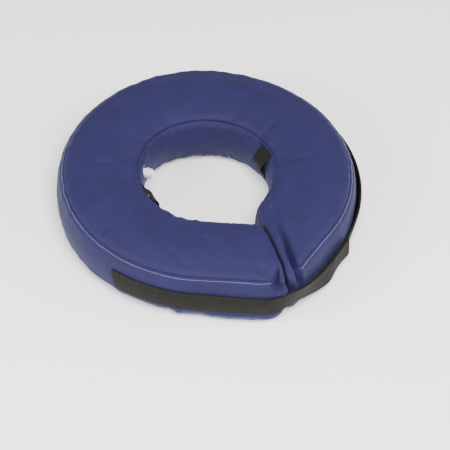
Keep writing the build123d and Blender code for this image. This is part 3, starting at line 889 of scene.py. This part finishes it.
# A stitch: how far along it, how thick, and how high
STITCH_SHAPE = ((0.0, 0.35, -0.35), (0.15, 0.9, 0.0), (0.5, 1.0, 0.12), (0.85, 0.9, 0.0), (1.0, 0.35, -0.35))


def between(values, lengths, at):
    """The value at a run along a line of points or directions."""
    return np.array([np.interp(at, lengths, values[:, k]) for k in range(3)])


def unit(v):
    """A direction's unit vector."""
    return v / (np.linalg.norm(v) + 1e-9)


def stitch_line(threads, line, lift, pitch=3.9, length=1.7, radius=0.38):
    """Short rounded stitches along a line of (point, outward direction)."""
    points = np.array([p for p, _ in line])
    ups = np.array([u for _, u in line])
    lengths = run_lengths(points)
    s = 0.0
    while s + length < lengths[-1]:
        wobble = random.uniform(-0.25, 0.25)
        rows, uvs = [], []
        for t, size, rise in STITCH_SHAPE:
            at = s + wobble + length * t
            p = between(points, lengths, at)
            up = unit(between(ups, lengths, at))
            aside = unit(np.cross(unit(between(points, lengths, at + 0.5) - p), up))
            centre = p + up * (lift + rise)
            turns = np.arange(6) * pi / 3
            around = [aside * cos(a) + up * sin(a) * 0.8 for a in turns]
            rows.append([tuple(centre + way * radius * size) for way in around])
            uvs.append([(at * 0.001, k * 0.0003) for k in range(6)])
        threads.grid(rows, uvs, flip=True, closed=True)
        s += pitch + random.uniform(-0.15, 0.15)


def row_at(d, upper):
    """The column of the outer band that is d from its upper or lower seam."""
    start, end = RANGES["outer"]
    length = SECTION[start]["length"]
    wanted = d if upper else length - d
    return min(range(start, end), key=lambda column: abs(SECTION[column]["s"] - wanted))


def thread_path(side, column, first, last, spare=0.0):
    """The line of a column of the cover, less a length at its last end."""
    grid, _, normals = halves[side]
    while spare > 0:
        spare -= np.linalg.norm(grid[last, column] - grid[last - 1, column])
        last -= 1
    return [(grid[i, column], normals[i, column]) for i in range(first, last + 1)]


stitched = row_at(STITCH_D, True), row_at(STITCH_D, False)
SPARE = {"left": (5.0, 2.0), "right": (30.0, 9.0)}  # without stitches at the end, on the upper and lower line
for side in ("left", "right"):
    threads = Pile()
    for column, spare in zip(stitched, SPARE[side]):
        stitch_line(threads, thread_path(side, column, MIDWAY, LAST_STRAIGHT, spare), 0.3)
    piece = threads.make(f"{side}_front_topstitching", pale_thread, "blue_canvas")
    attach(piece, f"{side}_half")
threads = Pile()
for column in stitched:
    path = thread_path("left", column, 0, MIDWAY)[::-1] + thread_path("right", column, 0, MIDWAY)[1:]
    stitch_line(threads, path, 0.3)
piece = threads.make("back_topstitching", pale_thread, "blue_canvas")
blend_back(piece)


# ---- webbing


def web_rows(path, half_t):
    """Closed rows across a web. path gives centre, way out, low and high edge, lean, run and hug."""
    spots = [0.0, 0.012, 0.03, *np.linspace(0.08, 0.92, 14), 0.97, 0.988, 1.0]
    rows, uvs = [], []
    for (x, y), (nx, ny), low, high, lean, s, hug in path:
        front, rear, row_uvs = [], [], []
        for w in spots:
            z = low + (high - low) * w
            middle = lean * (1 - w) - wall_drop(z) * hug
            half = half_t * (0.4 + 0.6 * rounded(min(w, 1 - w) / 0.03))
            front.append((x + nx * (middle + half), y + ny * (middle + half), z))
            rear.append((x + nx * (middle - half), y + ny * (middle - half), z))
            row_uvs.append((s * 0.001, (z - low) * 0.001))
        rows.append(front + rear[::-1])
        uvs.append(row_uvs + row_uvs[::-1])
    return rows, uvs


def web_piece(name, rows, uvs, mat, slot_name, cap_start=False, cap_end=False):
    """A tube of rows, closed at either end where asked."""
    web = Pile()
    web.grid(rows, uvs, flip=True, closed=True)
    n = len(rows[0])
    base = (len(rows) - 1) * n
    caps = range(n // 2 - 1)
    if cap_start:
        web.faces += [(k, k + 1, n - 2 - k, n - 1 - k) for k in caps]
    if cap_end:
        web.faces += [(base + k + 1, base + k, base + n - 1 - k, base + n - 2 - k) for k in caps]
    return web.make(name, mat, slot_name)


CORNER_X = (STRAP_OFF - SEWN_OFF) / (2 * SIN_J)
CORNER_Y = -(WALL_R + (SEWN_OFF + STRAP_OFF) / 2 - CORNER_R) / COS_J
SEWN_R = WALL_R + SEWN_OFF
FREE_R = WALL_R + STRAP_OFF
TO_ANCHOR = SEWN_R * TAN_J - ANCHOR_D  # from the join
ANCHOR_RUN = radians(SEWN_END_PHI - 30) * SEWN_R + TO_ANCHOR
LEAD = (CORNER_X + SEWN_R * SIN_J) / COS_J - CORNER_R * TAN_J - TO_ANCHOR
BEND = radians(60) * CORNER_R
FLAT = (FREE_R * SIN_J - CORNER_X) / COS_J - CORNER_R * TAN_J
FREE_END = LEAD + BEND + FLAT + radians(STRAP_END_PHI - 30) * FREE_R


def strap_centre(f):
    """The middle of the strap and its outward direction, f from the anchor along the free length."""
    if f < -TO_ANCHOR:
        phi = -JOIN + (f + TO_ANCHOR) / SEWN_R
        return on_ring(SEWN_R, phi), on_ring(1.0, phi)
    if f < LEAD:
        x, y = on_ring(SEWN_R, -JOIN)
        d = TO_ANCHOR + f
        return (x + d * COS_J, y - d * SIN_J), (-SIN_J, -COS_J)
    if f < LEAD + BEND:
        a = -JOIN + (f - LEAD) / CORNER_R
        x, y = on_ring(CORNER_R, a)
        return (CORNER_X + x, CORNER_Y + y), on_ring(1.0, a)
    if f < LEAD + BEND + FLAT:
        x, y = on_ring(CORNER_R, JOIN)
        d = f - LEAD - BEND
        return (CORNER_X + x + d * COS_J, CORNER_Y + y + d * SIN_J), (SIN_J, -COS_J)
    phi = JOIN + (f - LEAD - BEND - FLAT) / FREE_R
    return on_ring(FREE_R, phi), on_ring(1.0, phi)


# The strap: run from its anchor, heights of its edges, how far the lower one leans out, and stand-off
STRAP_SHAPE = [
    (-75, 25, 56.5, 0, 0),
    (-25, 23, 54, 0, 0),
    (-2, 23.5, 54, 0, 0),
    (14, 26, 56.5, -2, -0.6),
    (27, 30, 62, -5, -1.4),
    (40, 33, 65, -7, -1.8),
    (58, 29, 59.5, -8, -0.8),
    (84, 19.5, 51, -3, 0),
    (118, 14.5, 46, 4, 0.5),
    (146, 17, 48, -1, 0),
    (160, 19, 51, 0, 0.6),
    (175, 22, 53.5, 2.5, 1.5),
]


def strap_path(first, last, shift=0.0, inset=0.0):
    """The strap's rows between two runs from its anchor."""
    shape = np.array(STRAP_SHAPE, float)
    spread = np.linspace(-9, 9, 7)
    path = []
    count = max(int((last - first) / WEB_PITCH), 2)
    for f in np.linspace(first, last, count + 1):
        (x, y), (nx, ny) = strap_centre(f)
        values = [np.mean(np.interp(f + spread, shape[:, 0], shape[:, k])) for k in range(1, 5)]
        low, high, lean, stand = values
        wave = 0.35 * uneven(f / 17.0, 4.2, 0)
        low += inset + 0.5 * uneven(f / 21.0, 8.8, 0)
        high += 0.5 * uneven(f / 19.0, 1.1, 5) - inset
        out = shift + stand + (wave if f > 5 else 0.0)
        hug = 1 - 0.9 * step((f + 6) / 26)
        path.append(((x + nx * out, y + ny * out), (nx, ny), low, high, lean, f + ANCHOR_RUN, hug))
    return path


def slant(rows, amount):
    """Cuts the first rows on a slant, the lower edge shorter."""
    low, high = SEWN_EDGES
    last = np.array(rows[SLANT_ROWS])
    scale = amount / np.linalg.norm(last[0] - np.array(rows[0])[0])
    for i in range(SLANT_ROWS):
        row = np.array(rows[i])
        share = np.clip((high - row[:, 2]) / (high - low), 0, 1)[:, None]
        rows[i] = [tuple(p) for p in row + (last - row) * share * scale]
    return rows


# The strap's pieces: where it is cut, and each one's name, the CAD lengths it replaces, bodies and hinge
STRAP_CUTS = (-ANCHOR_RUN, PEEL_CORNER / 2, 70.0, FREE_END)
STRAPS = (
    ("left", ["sewn"], "left_half", "strap_corner", 0.0),
    ("corner", ["corner"], "strap_corner", "strap_middle", PEEL_CORNER),
    ("right", ["middle", "end"], "strap_middle", "strap_end", PEEL_END),
)


def around_peel(at, reach=8.0):
    """Points on the strap either side of a peel hinge, in metres."""
    (ax, ay), _ = strap_centre(at - reach)
    (bx, by), _ = strap_centre(at + reach)
    return (ax * 0.001, ay * 0.001, 0.036), (bx * 0.001, by * 0.001, 0.036)


for k, (name, lengths, inner, outer, at) in enumerate(STRAPS):
    rows, uvs = web_rows(strap_path(STRAP_CUTS[k], STRAP_CUTS[k + 1]), WEB_T / 2)
    if k == 0:
        rows = slant(rows, 5.5)
    mat = webbing if k == 0 else smooth_webbing
    piece = web_piece(f"closure_strap_{name}", rows, uvs, mat, "black_webbing", k == 0, k == 2)
    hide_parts(*[f"closure_strap_{length}_length" for length in lengths])
    start, end = around_peel(at)
    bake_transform(piece)

rows, uvs = web_rows(strap_path(70.5, FREE_END - 10, shift=-HOOK_BEHIND, inset=1.5), 0.5)
piece = web_piece("closure_hook_tape", rows, uvs, hooks, "hook_tape", True, True)
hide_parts("closure_hook_tape_middle", "closure_hook_tape_end")
start, end = around_peel(PEEL_END)
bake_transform(piece)


def belt_tilt(phi):
    """1 where the belt's lower edge lies on the wall and its upper edge stands off."""
    return step((phi - 37) / 12) * step((122 - phi) / 18)


def belt_out(phi, off):
    """How far the middle of the round part of the belt is from the wall, at an angle in degrees."""
    settle = step((360 - REAR_BELT_PHI - phi) / 6)
    stand = off + 2.4 * belt_tilt(phi) + 1.0 * bump(phi, 150, 185)
    out = stand * settle + CLOSE_OFF * (1 - settle)
    if phi > 200:
        free = step((236 - phi) / 30)
        out = out * free + (1 - free) * max(off - 2.3, CLOSE_OFF)
    return out


def belt_place(kind, value, straight, off):
    """The middle of the belt and its outward direction, on its straight or its round part."""
    if kind == "line":
        out = CLOSE_OFF + (off - CLOSE_OFF) * step((straight - value) / 14)
        return on_straight(WALL_R + out, value), (SIN_J, -COS_J)
    phi = radians(value)
    return on_ring(WALL_R + belt_out(value, off), phi), on_ring(1.0, phi)


def belt_path(from_phi, to_phi, straight, off, edges):
    """Rows of the belt. Angles past 180 are on the left half."""
    steps = []
    if straight > 0:
        steps += [("line", d) for d in np.linspace(straight, 0, int(straight / 3) + 1)[:-1]]
    steps += [("arc", a) for a in np.linspace(from_phi, to_phi, int((to_phi - from_phi) / 0.9) + 1)]
    path, s, last = [], 0.0, None
    for kind, value in steps:
        (x, y), direction = belt_place(kind, value, straight, off)
        s += dist((x, y), last or (x, y))
        last = (x, y)
        phi = 30.0 if kind == "line" else value
        front = 10.0 * (1 - step((phi - 34) / 14))  # lower at the front
        low = edges[0] + 0.6 * uneven(s / 33.0, 2.0, 7.0)
        high = edges[1] + 0.6 * uneven(s / 30.0, 6.0, 1.0) - front
        tilt = belt_tilt(phi)
        hug = 0.35 + 0.65 * max(step((phi - 104) / 18), tilt)
        path.append(((x, y), direction, low, high, -4.8 * tilt, s, hug))
    return path


# The belt and its pile: name, material, slot, stand-off, edges, half thickness, and gap at either end
BELT_RUN = WALL_R * TAN_J - BELT_START_D
BELTS = (
    ("belt", webbing, "black_webbing", BELT_OFF, BELT_EDGES, 0.75, 0, 0),
    ("loop_pile", pile, "loop_pile", BELT_OFF + 1.4, PILE_EDGES, 0.55, 3, 2),
)
for name, mat, slot_name, off, edges, half_t, front_gap, rear_gap in BELTS:
    node = "belt" if name == "belt" else "belt_loop_pile"
    rows, uvs = web_rows(belt_path(30, 90, BELT_RUN - front_gap, off, edges), half_t)
    piece = web_piece(f"right_front_{name}", rows, uvs, mat, slot_name, cap_start=True)
    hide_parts(f"right_{node}")
    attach(piece, "right_half")
    rows, uvs = web_rows(belt_path(90, 360 - REAR_BELT_PHI - rear_gap, 0, off, edges), half_t)
    piece = web_piece(f"back_{name}", rows, uvs, mat, slot_name, cap_end=True)
    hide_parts(f"left_rear_{node}")
    blend_back(piece)


def on_strap(place, way, z):
    """A point on the sewn strap's face at a height, with the way out."""
    out = WEB_T / 2 - wall_drop(z)
    x, y = place[0] + way[0] * out, place[1] + way[1] * out
    return np.array((x, y, z)), np.array((*way, 0.0))


# Sewing through the strap: along its edges, at its end, and across it at the anchor
sewing = Pile()
for share in (0.07, 0.93):
    rows = strap_path(-ANCHOR_RUN + 8, -4)
    line = [on_strap(place, way, low + (high - low) * share) for place, way, low, high, *_ in rows]
    stitch_line(sewing, line, 0.12, 3.2, 2.3, 0.34)
for f in (-ANCHOR_RUN + 12, -5.0):
    line = [on_strap(*strap_centre(f), z) for z in np.linspace(27, 52.5, 22)]
    stitch_line(sewing, line, 0.12, 3.0, 2.2, 0.34)
piece = sewing.make("closure_strap_stitching", dark_thread, "black_webbing")
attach(piece, "left_half")


# ---- loops for the dog's own collar


def wall_in(z, off, phi, up=0.0):
    """A point that stands off the inner wall, a run up the wall from a height."""
    a = asin((z - MID_Z) / BAND_R) + up / BAND_R
    x, y = on_ring(HOLE_R + BAND_R - (BAND_R + off) * cos(a), phi)
    return (x, y, MID_Z + (BAND_R + off) * sin(a))


for side in ("left", "right"):
    rows, uvs = [], []
    spots = np.linspace(-1, 1, 18)
    for z in np.linspace(LOOP_FROM, LOOP_TO, 44):
        stand = 0.85 + LOOP_ARCH * sin(pi * min(max((z - 40) / 30, 0), 1)) ** 1.3
        front, rear = [], []
        for w in spots:
            phi = SIGN[side] * (pi / 2 + w * LOOP_HALF_ARC)
            half = 0.7 * (0.45 + 0.55 * rounded((1 - abs(w)) / 0.1))
            front.append(wall_in(z, stand + half, phi))
            rear.append(wall_in(z, stand - half, phi))
        rows.append(front + rear[::-1])
        strip = [(z * 0.001, w * 0.0126) for w in spots]
        uvs.append(strip + strip[::-1])
    piece = web_piece(f"{side}_collar_loop_web", rows, uvs, webbing, "black_webbing", True, True)
    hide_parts(f"{side}_collar_loop")
    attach(piece, f"{side}_half")
    tacks = Pile()
    for z in (35.2, 37.6, 39.8, 70.6, 72.8, 75.0):
        line = []
        for w in np.linspace(-0.9, 0.9, 20):
            phi = SIGN[side] * (pi / 2 + w * LOOP_HALF_ARC)
            line.append((np.array(wall_in(z, 1.55, phi)), np.array((*on_ring(-1.0, phi), 0.0))))
        stitch_line(tacks, line, 0.1, 2.2, 1.7, 0.3)
    piece = tacks.make(f"{side}_collar_loop_tacks", dark_thread, "black_webbing")
    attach(piece, f"{side}_half")


# ---- zipper and valve


def on_zip(s, off, phi):
    """A point that stands off the inner wall, s up it from the zipper's middle."""
    return wall_in(ZIP_Z, off, phi, s)


COIL_TURNS = 84
COIL_SHAPE = ((-0.35, 0.3), (-0.1, 0.8), (0.9, 1.0), (1.9, 0.85), (2.2, 0.4))  # across, and thickness


def coil_turn(sign, phi):
    """The rings of points round one turn of a coil."""
    rings = []
    for s, size in COIL_SHAPE:
        turns = [k * pi / 4 for k in range(8)]
        offs = [-0.75 + 0.55 * size * sin(a) for a in turns]
        phis = [phi + 0.5 * size * cos(a) / HOLE_R for a in turns]
        rings.append([on_zip(sign * s, off, at) for off, at in zip(offs, phis)])
    return rings


for name, low, high in (("upper", 1.2, 7.5), ("lower", -7.5, -1.2)):
    rows, uvs = [], []
    spots = np.linspace(low, high, 8)
    for phi in np.radians(np.linspace(ZIP_FROM - 1, ZIP_TO + 1, 110)):
        rows.append([on_zip(s, -1.1, phi) for s in spots] + [on_zip(s, -1.7, phi) for s in spots[::-1]])
        strip = [(phi * 0.085, s * 0.001) for s in spots]
        uvs.append(strip + strip[::-1])
    piece = web_piece(f"zipper_{name}_tape_cloth", rows, uvs, zipper_cloth, "zipper_tape", True, True)
    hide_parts(f"zipper_{name}_tape")
    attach(piece, "right_half")
    teeth = Pile()
    sign, first = (1, 0.5) if name == "upper" else (-1, 0)
    for n in range(COIL_TURNS):
        phi = radians(ZIP_FROM + 2.0 + (ZIP_TO - ZIP_FROM - 4.0) * (n + first) / COIL_TURNS)
        teeth.grid(coil_turn(sign, phi), [[(0, 0)] * 8] * 5, flip=sign > 0, closed=True)
    piece = teeth.make(f"zipper_{name}_coil", coil, "zipper_teeth")
    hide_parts(f"zipper_{name}_teeth")
    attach(piece, "right_half")

ring = Pile()
rows, uvs = [], []
for a in np.linspace(0, 2 * pi, 61)[:-1]:
    row = []
    for b in np.arange(12) * pi / 6:
        rho = RING_R + 1.6 * cos(b)
        off = 0.25 + 0.75 * sin(b) + 0.12 * sin(a * 26)
        phi = -radians(VALVE_PHI) + rho * cos(a) / HOLE_R
        row.append(wall_in(VALVE_Z + rho * sin(a), off, phi))
    rows.append(row)
    uvs.append([(a * RING_R * 0.001, b * 0.0005) for b in range(12)])
rows.append(rows[0])
uvs.append([(2 * pi * RING_R * 0.001, b * 0.0005) for b in range(12)])
ring.grid(rows, uvs, closed=True)
piece = ring.make("valve_hole_edge", binding, "binding_tape")
weld(piece)
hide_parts("valve_hole_binding")
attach(piece, "left_half")

VALVE_NODES = ("valve_base", "valve_stem", "valve_tether", "valve_plug")
ZIPPER_NODES = ("zipper_front_stop", "zipper_rear_stop", "zipper_slider", "zipper_pull")
for node in VALVE_NODES + ZIPPER_NODES:
    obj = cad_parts[node]
    if not obj.material_slots:
        obj.data.materials.append(None)
    for place in obj.material_slots:
        place.link = "OBJECT"
        place.material = vinyl if node in VALVE_NODES else enamel


# ---- floor, light and camera

recipe = Recipe("pale floor")
mottle = recipe.add("TexNoise", Scale=6.0, Detail=3.0).outputs["Fac"]
shades = recipe.ramp(mottle, [(0.3, (0.86, 0.86, 0.87)), (0.7, (0.89, 0.89, 0.9))])
floor_mat = recipe.finish({"Base Color": shades}, Roughness=0.9)
corners = [(4000 * x, 4000 * y, 0) for x, y in ((-1, -1), (1, -1), (1, 1), (-1, 1))]
floor = make_piece("floor", corners, [(0, 1, 2, 3)], floor_mat, [(0, 0)] * 4)

world = bpy.data.worlds.new("studio")
world.use_nodes = True
background = world.node_tree.nodes["Background"]
background.inputs["Color"].default_value = (1.0, 1.0, 1.0, 1)
background.inputs["Strength"].default_value = 0.65
bpy.context.scene.world = world


def direction(azimuth, elevation):
    """The way from the collar to a light or the camera. Azimuth 0 is in front, positive to the right."""
    x, y = on_ring(cos(elevation), azimuth)
    return Vector((x, y, sin(elevation)))


def add_light(name, azimuth, elevation, distance, size, power):
    """A soft square light that faces the collar."""
    light = bpy.data.lights.new(name, "AREA")
    light.energy = power
    light.size = size
    obj = bpy.data.objects.new(name, light)
    place = direction(radians(azimuth), radians(elevation)) * distance
    obj.location = place + Vector((0, 0, 0.05))
    obj.rotation_euler = place.to_track_quat("Z", "Y").to_euler()
    bpy.context.collection.objects.link(obj)


add_light("key light", -88, 32, 1.9, 0.8, 42)
add_light("right light", 58, 30, 2.2, 1.0, 38)
add_light("front light", -14, 58, 2.2, 1.0, 106)

AZIMUTH = radians(-28.2)
ELEVATION = radians(46.55)
ROLL = radians(1.86)
DISTANCE = 3.0
TARGET = Vector((0, 0, 0.045))
toward = direction(AZIMUTH, ELEVATION)
level = Vector((cos(AZIMUTH), sin(AZIMUTH), 0))
above = toward.cross(level)
right = level * cos(ROLL) + above * sin(ROLL)
up = above * cos(ROLL) - level * sin(ROLL)
camera_data = bpy.data.cameras.new("camera")
camera_data.sensor_width = 36
camera_data.lens = 175.3
camera_data.shift_x = 0.0407
camera_data.shift_y = -0.0855
camera = bpy.data.objects.new("camera", camera_data)
bpy.context.collection.objects.link(camera)
place = TARGET + toward * DISTANCE
axes = Matrix((right, up, toward)).transposed()
camera.matrix_world = Matrix.Translation(place) @ axes.to_4x4()
bpy.context.scene.camera = camera
